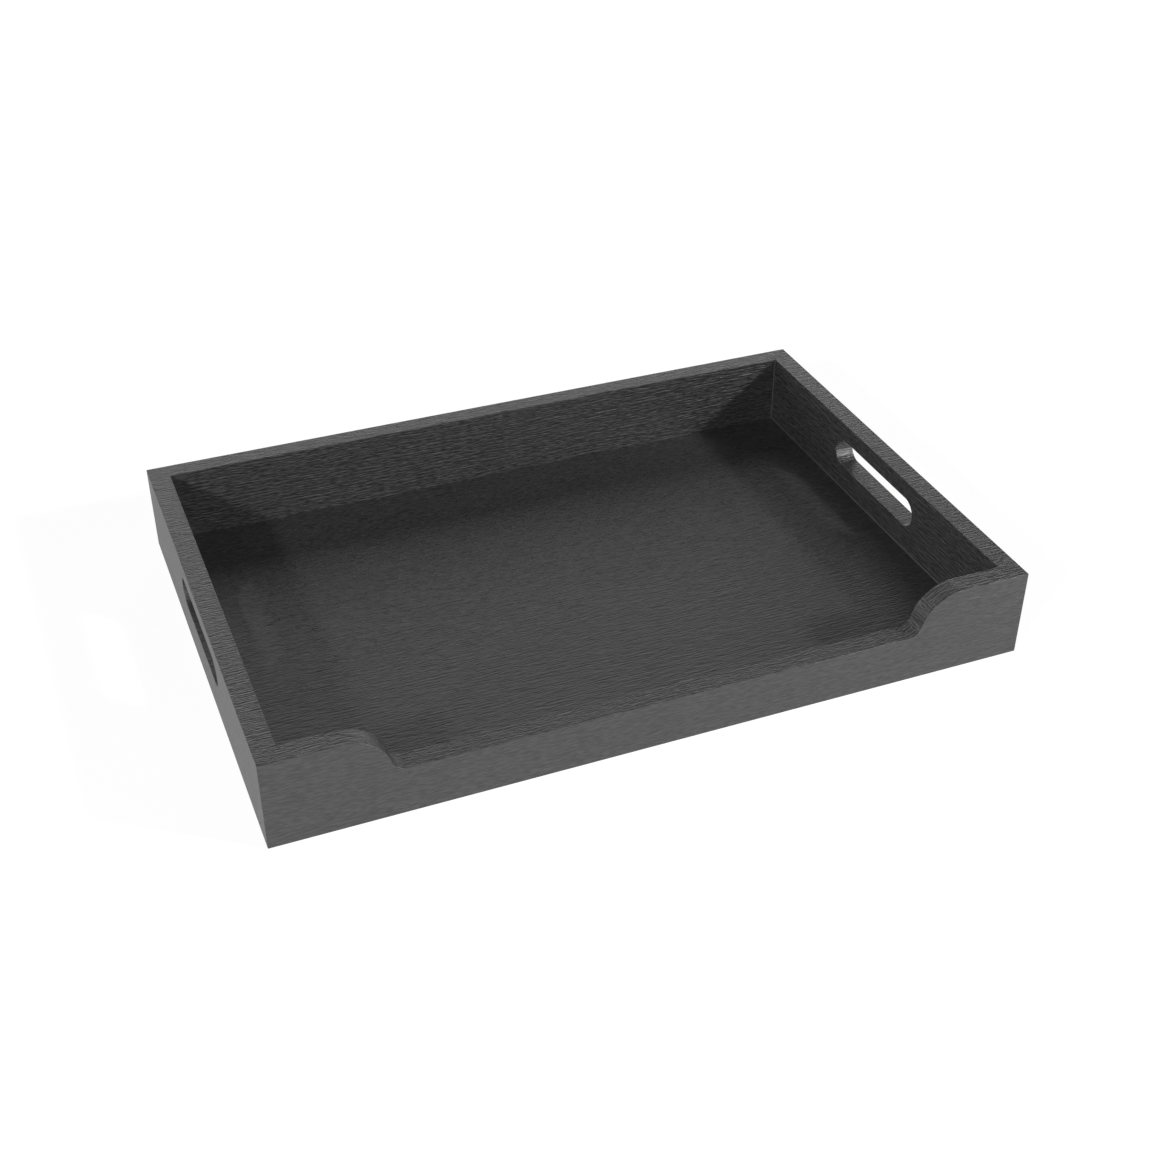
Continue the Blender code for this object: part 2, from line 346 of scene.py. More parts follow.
        # With every noise at its middle, the colour lies halfway from the stain's to the rubbed one
        shares = self.cloud_share + grain.fleck_share + grain.shade_share * (1 + grain.dash_share)
        clouded = add_node(
            tree, "ShaderNodeMath", {0: cloud, 1: self.cloud_share, 2: NOISE_MIDDLE * (1 - shares)},
            operation="MULTIPLY_ADD",
        )
        flecked = add_node(
            tree, "ShaderNodeMath", {0: dash, 1: grain.fleck_share, 2: clouded.outputs[0]},
            operation="MULTIPLY_ADD",
        )
        shade = add_node(
            tree, "ShaderNodeMath",
            {0: brushed.outputs[0], 1: grain.shade_share, 2: flecked.outputs[0]},
            operation="MULTIPLY_ADD",
        )
        wood = add_node(
            tree, "ShaderNodeMix",
            {FACTOR: shade.outputs[0], COLOUR_A: linear(self.stain), COLOUR_B: linear(self.rubbed)},
            data_type="RGBA",
        )
        filled = add_node(
            tree, "ShaderNodeMix",
            {FACTOR: pore, COLOUR_A: wood.outputs[COLOUR_RESULT], COLOUR_B: linear(self.pore)},
            data_type="RGBA",
        )
        sheen = add_node(
            tree, "ShaderNodeMapRange",
            {"Value": dash, "To Min": self.roughness - self.roughness_spread,
             "To Max": self.roughness + self.roughness_spread},
        )
        shader = add_node(
            tree, "ShaderNodeBsdfPrincipled",
            {"Base Color": filled.outputs[COLOUR_RESULT], "Roughness": sheen.outputs[0],
             "Specular IOR Level": self.specular_level, "Normal": bump.outputs[0]},
        )
        add_node(tree, "ShaderNodeOutputMaterial", {"Surface": shader.outputs[0]})
        return made


@dataclass(frozen=True)
class PooledLacquer:
    """Black matt lacquer that ran together in a corner and dried, drawn paler than the wood as a
    painted highlight.

    It has no grain of its own, only slow sags along it, and is a little smoother than the wood.

    Attributes:
        name: The material's name.
        thick: The colour where it pooled, paler than the wood's as a painted highlight.
        thin: The colour where it ran thin, paler still as a painted highlight.
        sag_mm: How long a sag is.
        roughness: Its middle roughness.
        roughness_spread: How far the sags move it to each side.
        specular_level: How strongly it mirrors.
        relief: How high the sags stand, in metres.
    """

    name: str = "black_matt_lacquer"
    # Both greys are paler than the stained wood's: a painted highlight that brightens the corners' line
    # of light
    thick: str = "#2d2d2d"
    thin: str = "#3c3c3c"
    sag_mm: float = 9.0
    roughness: float = 0.44
    roughness_spread: float = 0.05
    specular_level: float = 0.84
    relief: float = 0.0002

    def material(self) -> bpy.types.Material:
        """Builds the finish.

        Returns:
            The material.
        """
        made = empty_material(self.name)
        tree = made.node_tree
        where = add_node(tree, "ShaderNodeTexCoord")
        sag = add_node(
            tree, "ShaderNodeTexNoise",
            {"Vector": where.outputs["Object"], "Scale": 1 / (self.sag_mm * MM), "Detail": 1.0},
        )
        # The sags move the colour between the two greys, both of them painted highlight
        colour = add_node(
            tree, "ShaderNodeMix",
            {FACTOR: sag.outputs["Fac"], COLOUR_A: linear(self.thick), COLOUR_B: linear(self.thin)},
            data_type="RGBA",
        )
        sheen = add_node(
            tree, "ShaderNodeMapRange",
            {"Value": sag.outputs["Fac"], "To Min": self.roughness - self.roughness_spread,
             "To Max": self.roughness + self.roughness_spread},
        )
        bump = add_node(
            tree, "ShaderNodeBump",
            {"Height": sag.outputs["Fac"], "Distance": self.relief, "Strength": 1.0},
        )
        shader = add_node(
            tree, "ShaderNodeBsdfPrincipled",
            {"Base Color": colour.outputs[COLOUR_RESULT], "Roughness": sheen.outputs[0],
             "Specular IOR Level": self.specular_level, "Normal": bump.outputs[0]},
        )
        add_node(tree, "ShaderNodeOutputMaterial", {"Surface": shader.outputs[0]})
        return made


@dataclass(frozen=True)
class TurnedBeech:
    """Bare beech dowel stock: pale, close-grained and dry, with fine lines along its length.

    Attributes:
        name: The material's name.
        pale: The wood's main colour.
        ray: The colour of its fine lines.
        line_mm: Such a line, length and width.
        roughness: How dull the bare wood is.
        relief: How high the lines stand, in metres.
    """

    name: str = "turned_beech"
    pale: str = "#cdb28f"
    ray: str = "#b08c64"
    line_mm: Point = (14.0, 0.5)
    roughness: float = 0.72
    relief: float = 0.00003

    def material(self) -> bpy.types.Material:
        """Builds the finish.

        Returns:
            The material.
        """
        made = empty_material(self.name)
        tree = made.node_tree
        length, width = self.line_mm
        where = add_node(tree, "ShaderNodeTexCoord")
        scaled = add_node(
            tree, "ShaderNodeVectorMath",
            {0: where.outputs["Object"], 1: (1 / (width * MM), 1 / (length * MM), 1 / (width * MM))},
            operation="MULTIPLY",
        )
        lines = add_node(
            tree, "ShaderNodeTexNoise", {"Vector": scaled.outputs[0], "Scale": 1.0, "Detail": 2.0}
        )
        colour = add_node(
            tree, "ShaderNodeMix",
            {FACTOR: lines.outputs["Fac"], COLOUR_A: linear(self.pale), COLOUR_B: linear(self.ray)},
            data_type="RGBA",
        )
        bump = add_node(
            tree, "ShaderNodeBump",
            {"Height": lines.outputs["Fac"], "Distance": self.relief, "Strength": 1.0},
        )
        shader = add_node(
            tree, "ShaderNodeBsdfPrincipled",
            {"Base Color": colour.outputs[COLOUR_RESULT], "Roughness": self.roughness,
             "Normal": bump.outputs[0]},
        )
        add_node(tree, "ShaderNodeOutputMaterial", {"Surface": shader.outputs[0]})
        return made


@dataclass(frozen=True)
class TraySizes:
    """The tray's real sizes, which its pieces share.

    Attributes:
        length: Its whole length, along X.
        width: Its whole width, along Y.
        height: Its whole height.
        board: How thick the rails are.
        front_height: How high the front rail's low stretch is.
        shoulder_flat: How far the front rail keeps its full height at each end.
        shoulder_radius: The round top of a shoulder.
        foot_radius: The round foot of a shoulder.
        eased_edge: How much of a face an edge's rounding takes.
        slot_length: A hand slot's length.
        slot_height: A hand slot's height.
        slot_centre: How high a hand slot's middle lies.
        floor_height: How high the panel's upper face lies.
        rim_low: How high the panel's lower face lies.
        rim_high: How high the upper face of the panel's thin rim lies.
        rim_reach: How deep the rim stands in the rails.
        groove_depth: How deep the grooves are.
        groove_room: The gap between the rim and a groove's walls.
        cut_overrun: How far a groove's cutter runs out past the rail's face.
        joint: The hairline gap at the joints, so that no two faces share a plane.
    """

    length: float = 0.500
    width: float = 0.337
    height: float = 0.0615
    board: float = 0.014
    front_height: float = 0.0333
    shoulder_flat: float = 0.048
    shoulder_radius: float = 0.029
    foot_radius: float = 0.0085
    eased_edge: float = 0.0003
    slot_length: float = 0.107
    slot_height: float = 0.0212
    slot_centre: float = 0.038006
    floor_height: float = 0.00975
    rim_low: float = 0.00375
    rim_high: float = 0.00775
    rim_reach: float = 0.005
    groove_depth: float = 0.0058
    groove_room: float = 0.0003
    cut_overrun: float = 0.0035
    joint: float = 0.00002

    @property
    def inner_length(self) -> float:
        """Half the clear length between the end rails."""
        return self.length / 2 - self.board

    @property
    def inner_width(self) -> float:
        """Half the clear width between the long rails."""
        return self.width / 2 - self.board

    @property
    def rim_middle(self) -> float:
        """How high the middle of the panel's rim lies, and of the grooves that hold it."""
        return (self.rim_low + self.rim_high) / 2

    @property
    def groove_height(self) -> float:
        """How high a groove is."""
        return self.rim_high - self.rim_low + 2 * self.groove_room


def arc(centre: Point, radius: float, start: float, end: float, steps: int) -> list[Point]:
    """Points round a centre, from one angle to the other.

    Args:
        centre: The arc's centre.
        radius: Its radius.
        start: The first point's angle.
        end: The last point's angle.
        steps: How many straight pieces it has.

    Returns:
        The points.
    """
    angles = [start + (end - start) * step / steps for step in range(steps + 1)]
    return [(centre[0] + radius * math.cos(a), centre[1] + radius * math.sin(a)) for a in angles]


def stadium(length: float, height: float, centre_height: float, steps: int = 32) -> list[Point]:
    """A slot's outline: two straight sides and two half-round ends.

    Args:
        length: Its whole length.
        height: Its height.
        centre_height: How high its middle lies.
        steps: Straight pieces in each round end.

    Returns:
        The points.
    """
    radius = height / 2
    reach = length / 2 - radius
    right = arc((reach, centre_height), radius, -math.pi / 2, math.pi / 2, steps)
    left = arc((-reach, centre_height), radius, math.pi / 2, 3 * math.pi / 2, steps)
    return right + left


def sawn(
    name: str, outlines: Sequence[Sequence[Point]], thickness: float, stand: Matrix, location: Place
) -> bpy.types.Object:
    """Gives closed outlines a thickness. A second outline inside the first is a hole.

    Args:
        name: The new object's name.
        outlines: The board's outline, and its hole's if it has one.
        thickness: How thick the board is.
        stand: Turns the flat drawing the way that the board stands.
        location: Where the drawing's origin goes, in the middle of the thickness.

    Returns:
        The solid, with its place in its mesh.
    """
    curve = bpy.data.curves.new(name, "CURVE")
    curve.dimensions = "2D"
    curve.fill_mode = "BOTH"
    curve.extrude = thickness / 2
    for outline in outlines:
        spline = curve.splines.new("POLY")
        spline.points.add(len(outline) - 1)
        for point, (x, y) in zip(spline.points, outline):
            point.co = (x, y, 0, 1)
        spline.use_cyclic_u = True
    drawn = bpy.data.objects.new(name + "_outline", curve)
    bpy.context.scene.collection.objects.link(drawn)
    bpy.context.view_layer.update()
    mesh = bpy.data.meshes.new_from_object(drawn.evaluated_get(bpy.context.evaluated_depsgraph_get()))
    bpy.data.objects.remove(drawn, do_unlink=True)
    bpy.data.curves.remove(curve)
    shape = bmesh.new()
    shape.from_mesh(mesh)
    bmesh.ops.remove_doubles(shape, verts=shape.verts, dist=thickness * WELD_SHARE)
    bmesh.ops.recalc_face_normals(shape, faces=shape.faces)
    # A board without a hole gets one face for each of its two caps
    if len(outlines) == 1:
        for way in (-1, 1):
            cap = [face for face in shape.faces if face.normal.z * way > CAP_NORMAL_SHARE]
            bmesh.ops.dissolve_faces(shape, faces=cap, use_verts=False)
    shape.to_mesh(mesh)
    shape.free()
    mesh.transform(Matrix.Translation(location) @ stand)
    mesh.name = name
    return bpy.data.objects.new(name, mesh)


def block(name: str, size: Place, location: Place) -> bpy.types.Object:
    """A box about its centre, with its place in its mesh.

    Args:
        name: The new object's name.
        size: Its sides.
        location: Its centre.

    Returns:
        The box.
    """
    shape = bmesh.new()
    bmesh.ops.create_cube(shape, size=1)
    bmesh.ops.scale(shape, verts=shape.verts, vec=size)
    bmesh.ops.translate(shape, verts=shape.verts, vec=location)
    mesh = bpy.data.meshes.new(name)
    shape.to_mesh(mesh)
    shape.free()
    return bpy.data.objects.new(name, mesh)


def drill_bit(
    name: str, radius: float, length: float, location: Place, sides: int = 32
) -> bpy.types.Object:
    """A cylinder that lies along the tray's width, to bore a dowel hole with.

    Args:
        name: The new object's name.
        radius: The bore's radius.
        length: Its depth through both rails.
        location: Its middle.
        sides: How many flat sides its round has.

    Returns:
        The cylinder.
    """
    shape = bmesh.new()
    bmesh.ops.create_cone(
        shape, cap_ends=True, segments=sides, radius1=radius, radius2=radius, depth=length,
        matrix=Matrix.Translation(location) @ Matrix.Rotation(math.pi / 2, 4, "X"),
    )
    mesh = bpy.data.meshes.new(name)
    shape.to_mesh(mesh)
    shape.free()
    return bpy.data.objects.new(name, mesh)


def ease(
    piece: bpy.types.Object, radius: float, is_eased: Callable[[Vector], bool], steps: int = 3
) -> None:
    """Rounds the sharp edges whose middle passes the test.

    Args:
        piece: The piece, with its place in its mesh.
        radius: How much of each face the rounding takes.
        is_eased: Says for an edge's middle whether that edge is rounded.
        steps: How many faces the rounding has.
    """
    shape = bmesh.new()
    shape.from_mesh(piece.data)
    weight = shape.edges.layers.float.new("bevel_weight_edge")
    for edge in shape.edges:
        middle = (edge.verts[0].co + edge.verts[1].co) / 2
        if edge.calc_face_angle(0) > CORNER_ANGLE and is_eased(middle):
            edge[weight] = 1
    shape.to_mesh(piece.data)
    shape.free()
    bevel = piece.modifiers.new("eased_edges", "BEVEL")
    bevel.limit_method = "WEIGHT"
    bevel.width = radius
    bevel.segments = steps
    bevel.use_clamp_overlap = False


def cut(piece: bpy.types.Object, cutters: Sequence[bpy.types.Object]) -> None:
    """Takes the cutters out of a piece, turns all its modifiers into mesh, and drops the cutters.

    Args:
        piece: The piece, which joins the scene.
        cutters: What is taken out of it.
    """
    scene = bpy.context.scene.collection
    scene.objects.link(piece)
    for cutter in cutters:
        scene.objects.link(cutter)
        boolean = piece.modifiers.new(cutter.name, "BOOLEAN")
        boolean.operation = "DIFFERENCE"
        boolean.solver = "MANIFOLD"
        boolean.object = cutter
    bpy.context.view_layer.update()
    graph = bpy.context.evaluated_depsgraph_get()
    shaped = bpy.data.meshes.new_from_object(piece.evaluated_get(graph))
    rough = piece.data
    piece.modifiers.clear()
    piece.data = shaped
    bpy.data.meshes.remove(rough)
    shaped.name = piece.name
    for cutter in cutters:
        bpy.data.meshes.remove(cutter.data)


def settle(
    piece: bpy.types.Object, material: bpy.types.Material, slot: Slot, *nodes: str
) -> bpy.types.Object:
    """Shades a finished piece, gives it its material, hangs it on the tray's body, and hides the CAD
    nodes that it replaces.

    Args:
        piece: The piece, already in the scene.
        material: Its finish.
        slot: The record's material slot; not used.
        *nodes: The CAD nodes that it replaces.

    Returns:
        The piece.
    """
    mesh = piece.data
    mesh.materials.clear()
    mesh.materials.append(material)
    mesh.shade_smooth()
    mesh.set_sharp_from_angle(angle=CREASE_ANGLE)
    even = piece.modifiers.new("even_shading", "WEIGHTED_NORMAL")
    even.keep_sharp = True
    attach(piece, BODY)
    if nodes:
        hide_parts(*nodes)
    LOG.info("%s: %d faces, %s", piece.name, len(mesh.polygons), material.name)
    return piece


@dataclass
class DowelJoints:
    """The hidden dowels of the four corners, two in each, and the bores that they stand in.

    Attributes:
        sizes: The tray's sizes.
        radius: A dowel's radius.
        room: The gap between a dowel and its bore.
        in_end_rail: How deep a bore goes into an end rail.
        cover: How much wood a long rail keeps outside a bore.
        heights: How high the lower and the upper dowels lie.
    """

    sizes: TraySizes
    radius: float = 0.003
    room: float = 0.0003
    in_end_rail: float = 0.015
    cover: float = 0.0045
    heights: tuple[float, float] = (0.02075, 0.0505)

    def bores(self, side: Side | None, end: End | None) -> list[bpy.types.Object]:
        """The cutters of one rail's bores.

        Args:
            side: The long rail that is bored, or None for all.
            end: The end rail that is bored, or None for all.

        Returns:
            The cutters.
        """
        sizes = self.sizes
        in_long_rail = sizes.board - self.cover
        centre = sizes.inner_width + (in_long_rail - self.in_end_rail) / 2
        return [
            drill_bit(
                f"bore_{way.name}_{hand.name}_{level}", self.radius + self.room,
                in_long_rail + self.in_end_rail,
                (hand.value * (sizes.length - sizes.board) / 2, way.value * centre, height),
            )
            for way in (Side if side is None else [side])
            for hand in (End if end is None else [end])
            for level, height in zip(("lower", "upper"), self.heights)
        ]

    def dress(self, nodes: dict[str, bpy.types.Object], material: bpy.types.Material) -> None:
        """Gives the CAD dowels their beech.

        Args:
            nodes: The CAD nodes by name.
            material: The dowels' finish.
        """
        for name, node in sorted(nodes.items()):
            if name.startswith("dowel_"):
                node.data.materials.clear()
                node.data.materials.append(material)
                LOG.info("%s: %s", name, material.name)


@dataclass
class LongRail:
    """A full-length rail. The front one is cut down between two round shoulders.

    Attributes:
        sizes: The tray's sizes.
        side: Which of the two it is.
        shoulder_steps: Straight pieces in a shoulder's round top.
        foot_steps: Straight pieces in its round foot.
    """

    sizes: TraySizes
    side: Side
    shoulder_steps: int = 44
    foot_steps: int = 16

    def shoulder(self) -> list[Point]:
        """The right half of the front rail's upper edge, from its end to its low stretch."""
        sizes = self.sizes
        reach = sizes.shoulder_radius + sizes.foot_radius
        overlap = max(reach - (sizes.height - sizes.front_height), 0)
        span = math.sqrt(reach**2 - overlap**2)
        tilt = math.asin(overlap / reach)
        crown = (sizes.length / 2 - sizes.shoulder_flat, sizes.height - sizes.shoulder_radius)
        foot = (crown[0] - span, sizes.front_height + sizes.foot_radius)
        round_top = arc(
            crown, sizes.shoulder_radius, math.pi / 2, math.pi - tilt, self.shoulder_steps
        )
        return round_top + arc(foot, sizes.foot_radius, -tilt, -math.pi / 2, self.foot_steps)

    def outline(self) -> list[Point]:
        """The rail seen from the front, with points where the end rails meet its upper edge."""
        sizes = self.sizes
        half = sizes.length / 2
        stops = (sizes.inner_length, sizes.inner_length + sizes.eased_edge)
        lower = [(stop, 0) for stop in stops] + [(half, 0)]
        upper = [(half, sizes.height)] + [(stop, sizes.height) for stop in reversed(stops)]
        if self.side is Side.FRONT:
            upper += self.shoulder()
        right = lower + upper
        return right + [(-x, z) for x, z in reversed(right)]

    def build(self, material: bpy.types.Material, joints: DowelJoints) -> bpy.types.Object:
        """Makes the rail, grooved and bored.

        Args:
            material: Its finish.
            joints: The dowel joints at its ends.

        Returns:
            The rail.
        """
        sizes, way = self.sizes, self.side.value
        node = f"{self.side.name.lower()}_rail"
        middle = (sizes.width - sizes.board) / 2
        rail = sawn(
            node + "_brushed", [self.outline()], sizes.board, FACING_FRONT, (0, way * middle, 0)
        )
        inner = way * sizes.inner_width

        def is_eased(place: Vector) -> bool:
            """True for all but the edges that close a joint."""
            in_joint = abs(place.x) > sizes.inner_length
            return not (in_joint and math.isclose(place.y, inner, abs_tol=sizes.groove_room))

        ease(rail, sizes.eased_edge, is_eased)
        groove = sawn(
            node + "_groove",
            [stadium(
                2 * (sizes.inner_length + sizes.rim_reach + sizes.groove_room) + sizes.groove_height,
                sizes.groove_height, sizes.rim_middle,
            )],
            sizes.groove_depth + sizes.cut_overrun, FACING_FRONT,
            (0, inner + way * (sizes.groove_depth - sizes.cut_overrun) / 2, 0),
        )
        cut(rail, [groove] + joints.bores(self.side, None))
        return settle(rail, material, Slot.RAILS, node)


@dataclass
class EndRail:
    """A rail between the long ones, with a hand slot through it.

    Attributes:
        sizes: The tray's sizes.
        end: Which of the two it is.
    """

    sizes: TraySizes
    end: End

    def build(self, material: bpy.types.Material, joints: DowelJoints) -> bpy.types.Object:
        """Makes the rail, slotted, grooved and bored.

        Args:
            material: Its finish.
            joints: The dowel joints at its ends.

        Returns:
            The rail.
        """
        sizes, way = self.sizes, self.end.value
        node = f"{self.end.name.lower()}_end_rail"
        half = sizes.inner_width - sizes.joint
        board = [(-half, 0), (half, 0), (half, sizes.height), (-half, sizes.height)]
        slot = stadium(sizes.slot_length, sizes.slot_height, sizes.slot_centre)
        middle = (sizes.length - sizes.board) / 2
        rail = sawn(node + "_brushed", [board, slot], sizes.board, FACING_END, (way * middle, 0, 0))

        def is_eased(place: Vector) -> bool:
            """True for all but the edges at the rail's two ends."""
            return abs(place.y) < half - sizes.groove_room

        ease(rail, sizes.eased_edge, is_eased)
        groove = block(
            node + "_groove",
            (sizes.groove_depth + sizes.cut_overrun, sizes.width, sizes.groove_height),
            (
                way * (sizes.inner_length + (sizes.groove_depth - sizes.cut_overrun) / 2), 0,
                sizes.rim_middle,
            ),
        )
        cut(rail, [groove] + joints.bores(None, self.end))
        return settle(rail, material, Slot.RAILS, node)


@dataclass
class LacquerBead:
    """The fine cove of lacquer that fills the inner corners of an end rail.

    It runs down one corner, along the rail's foot and up the other corner, and its hollow face
    catches a thin line of light, which its paler colour brightens as a painted highlight.

    Attributes:
        sizes: The tray's sizes.
        end: Which end rail it belongs to.
        radius: How far it reaches over each of the two faces that it joins.
        steps: Straight pieces in its hollow face.
    """

    sizes: TraySizes
    end: End
    radius: float = 0.0008
    steps: int = 5

    def section(self) -> list[Point]:
        """The bead's cross-section: how far each point is from the rail, and from what it meets."""
        gap, reach = self.sizes.joint, self.radius
        hollow = arc((reach, reach), reach - gap, -math.pi / 2, -math.pi, self.steps)
        return [(gap, gap)] + hollow

    def build(self, material: bpy.types.Material) -> bpy.types.Object:
        """Makes the bead.

        Args:
            material: Its finish.

        Returns:
            The bead.
        """
        sizes, section = self.sizes, self.section()
        top = sizes.height - sizes.eased_edge
        shape = bmesh.new()

        def station(way: int, at_top: bool) -> list[bmesh.types.BMVert]:
            """The section's points at a corner's top, or at its mitred foot."""
            return [
                shape.verts.new((
                    self.end.value * (sizes.inner_length - off_rail),
                    way * (sizes.inner_width - off_other),
                    top if at_top else sizes.floor_height + off_other,
                ))
                for off_rail, off_other in section
            ]

        rings = [station(-1, True), station(-1, False), station(1, False), station(1, True)]
        for ring, after in zip(rings, rings[1:]):
            for place in range(len(section)):
                follow = (place + 1) % len(section)
                shape.faces.new((ring[place], ring[follow], after[follow], after[place]))
        shape.faces.new(rings[0])
        shape.faces.new(rings[-1])
        bmesh.ops.recalc_face_normals(shape, faces=shape.faces)
        name = f"{self.end.name.lower()}_lacquer_bead"
        mesh = bpy.data.meshes.new(name)
        shape.to_mesh(mesh)
        shape.free()
        bead = bpy.data.objects.new(name, mesh)
        bpy.context.scene.collection.objects.link(bead)
        return settle(bead, material, Slot.RAILS)


@dataclass
class BasePanel:
    """The floor: a veneered panel whose thinner rim stands in the rails' grooves.

    Attributes:
        sizes: The tray's sizes.
        rim_chamfer: How much of a face the chamfer round the rim takes.
    """

    sizes: TraySizes
    rim_chamfer: float = 0.0006

    def build(self, material: bpy.types.Material) -> bpy.types.Object:
        """Makes the panel.

        Args:
            material: Its finish.

        Returns:
            The panel.
        """
        sizes = self.sizes
        panel = block(
            "base_panel_veneered",
            (
                2 * (sizes.inner_length + sizes.rim_reach),
                2 * (sizes.inner_width + sizes.rim_reach),
                sizes.rim_high - sizes.rim_low,
            ),
            (0, 0, sizes.rim_middle),
        )
        shape = bmesh.new()
        shape.from_mesh(panel.data)
        top = [face for face in shape.faces if face.normal.z > CAP_NORMAL_SHARE]
        bmesh.ops.inset_region(
            shape, faces=top, thickness=sizes.rim_reach + sizes.joint, use_even_offset=True
        )
        bmesh.ops.inset_region(shape, faces=top, depth=sizes.floor_height - sizes.rim_high)
        shape.to_mesh(panel.data)
        shape.free()

        def is_rim(place: Vector) -> bool:
            """True for the edges that stand in the grooves."""
            return abs(place.x) > sizes.inner_length or abs(place.y) > sizes.inner_width

        ease(panel, self.rim_chamfer, is_rim, 1)
        cut(panel, [])
        return settle(panel, material, Slot.PANEL, "base_panel")


@dataclass(frozen=True)
class Lamp:
    """A soft lamp, by where it stands round the tray and how much light it gives.

    Attributes:
        name: Its name.
        azimuth: Degrees round from the tray's +X.
        elevation: Degrees above the floor.
        level: Its light on a card turned to it, where 1 shows a colour as it is written.
        across: How many degrees wide and high it is, seen from the tray.
    """

    name: str
    azimuth: float
    elevation: float
    level: float
    across: Point


@dataclass
class Studio:
    """A pale floor, a few soft lamps and a white backdrop.

    Attributes:
        lamps: The soft boxes round the tray.
        distance: How far from the tray they hang.
        floor_side: How long the floor's sides are.
        floor_drop: How far the floor lies under the plane z = 0.
        card: How pale the floor is to the light that it sends up.
        glow: What the floor shows to the camera close to the tray, beside its shadow's share.
        glow_far: What it shows where it is out of the lamps' reach.
        far: Over which distances from the tray the one becomes the other.
        shadow_share: How much the lamps' light and the tray's shadow add to the camera's floor.
        glow_in_gloss: What the floor shows in reflections, beside its shadow's share.
        shadow_in_gloss: How much the lamps' light and the tray's shadow add there.
        horizon: The backdrop's strength in reflections, at the floor's level.
        ceiling: Its strength there above its edge.
        ceiling_edge: The height at which the fade upward ends, on a globe of radius 1.
    """

    lamps: tuple[Lamp, ...] = (
        Lamp("key_right", 321.0, 29.5, 0.77, (4.5, 4.5)),
        Lamp("key_left", 219.0, 29.5, 0.69, (4.5, 4.5)),
        Lamp("window_back", 77.0, 24.0, 0.20, (40.0, 44.0)),
        Lamp("fill_back_left", 150.0, 14.0, 0.115, (20.0, 16.0)),
        Lamp("rim_back_right", 50.0, 9.0, 0.05, (24.0, 14.0)),
        Lamp("rim_back", 104.0, 8.0, 0.09, (20.0, 8.0)),
    )
    distance: float = 3.5
    floor_side: float = 16.0
    floor_drop: float = 0.0001
    card: float = 0.8
    glow: float = 0.90
    glow_far: float = 1.0
    far: Point = (0.8, 2.2)
    shadow_share: float = 0.16
    glow_in_gloss: float = 0.57
    shadow_in_gloss: float = 0.52
    horizon: float = 0.9
    ceiling: float = 0.03
    ceiling_edge: float = 0.45

    def hang_lamps(self) -> None:
        """Hangs the lamps, each a soft box that faces the tray."""
        for lamp in self.lamps:
            turn, lift = math.radians(lamp.azimuth), math.radians(lamp.elevation)
            towards = Vector((
                math.cos(turn) * math.cos(lift), math.sin(turn) * math.cos(lift), math.sin(lift)
            ))
            light = bpy.data.lights.new(lamp.name, "AREA")
            light.shape = "RECTANGLE"
            light.size, light.size_y = (
                2 * self.distance * math.tan(math.radians(degrees / 2)) for degrees in lamp.across
            )
            # At a level of 1, a card turned to the lamp shows its colour as it is written
            light.energy = lamp.level * (math.pi * self.distance) ** 2
            hung = bpy.data.objects.new(lamp.name, light)
            hung.matrix_world = (
                Matrix.Translation(towards * self.distance)
                @ towards.to_track_quat("Z", "Y").to_matrix().to_4x4()
            )
            bpy.context.scene.collection.objects.link(hung)

    def floor_material(self) -> bpy.types.Material:
        """Pale studio floor: white to the camera and in reflections, with the tray's soft shadow.

        From below it is clear, so that the tray's underside can be looked at.

        Returns:
            The material.
        """
        made = empty_material("pale_studio_floor")
        tree = made.node_tree
        rays = add_node(tree, "ShaderNodeLightPath")
        where = add_node(tree, "ShaderNodeTexCoord")
        away = add_node(
            tree, "ShaderNodeVectorMath", {0: where.outputs["Object"]}, operation="LENGTH"
        )
        whiter = add_node(
            tree, "ShaderNodeMapRange",
            {"Value": away.outputs["Value"], "From Min": self.far[0], "From Max": self.far[1],
             "To Min": self.glow, "To Max": self.glow_far},
        )
        card = add_node(tree, "ShaderNodeBsdfDiffuse", {"Color": (self.card,) * 3 + (1.0,)})
        seen, mirrored = (
            add_node(tree, "ShaderNodeAddShader", {
                0: add_node(tree, "ShaderNodeEmission", {"Strength": glow}).outputs[0],
                1: add_node(
                    tree, "ShaderNodeBsdfDiffuse", {"Color": (shade, shade, shade, 1.0)}
                ).outputs[0],
            })
            for glow, shade in (
                (whiter.outputs[0], self.shadow_share), (self.glow_in_gloss, self.shadow_in_gloss)
            )
        )
        bounced = add_node(
            tree, "ShaderNodeMath",
            {0: rays.outputs["Is Glossy Ray"], 1: rays.outputs["Is Transmission Ray"]},
            operation="MAXIMUM",
        )
        unseen = add_node(
            tree, "ShaderNodeMixShader",
            {0: bounced.outputs[0], 1: card.outputs[0], 2: mirrored.outputs[0]},
        )
        above = add_node(
            tree, "ShaderNodeMixShader",
            {0: rays.outputs["Is Camera Ray"], 1: unseen.outputs[0], 2: seen.outputs[0]},
        )
        side = add_node(tree, "ShaderNodeNewGeometry")
        clear = add_node(tree, "ShaderNodeBsdfTransparent")
        both = add_node(
            tree, "ShaderNodeMixShader",
            {0: side.outputs["Backfacing"], 1: above.outputs[0], 2: clear.outputs[0]},
        )
        add_node(tree, "ShaderNodeOutputMaterial", {"Surface": both.outputs[0]})
        return made

    def lay_floor(self) -> None:
        """Lays the floor that the tray stands on."""
        half = self.floor_side / 2
        mesh = bpy.data.meshes.new("studio_floor")
        corners = [(-half, -half, 0), (half, -half, 0), (half, half, 0), (-half, half, 0)]
        mesh.from_pydata(corners, [], [(0, 1, 2, 3)])
        mesh.materials.append(self.floor_material())
        laid = bpy.data.objects.new("studio_floor", mesh)
        laid.location.z = -self.floor_drop
        bpy.context.scene.collection.objects.link(laid)

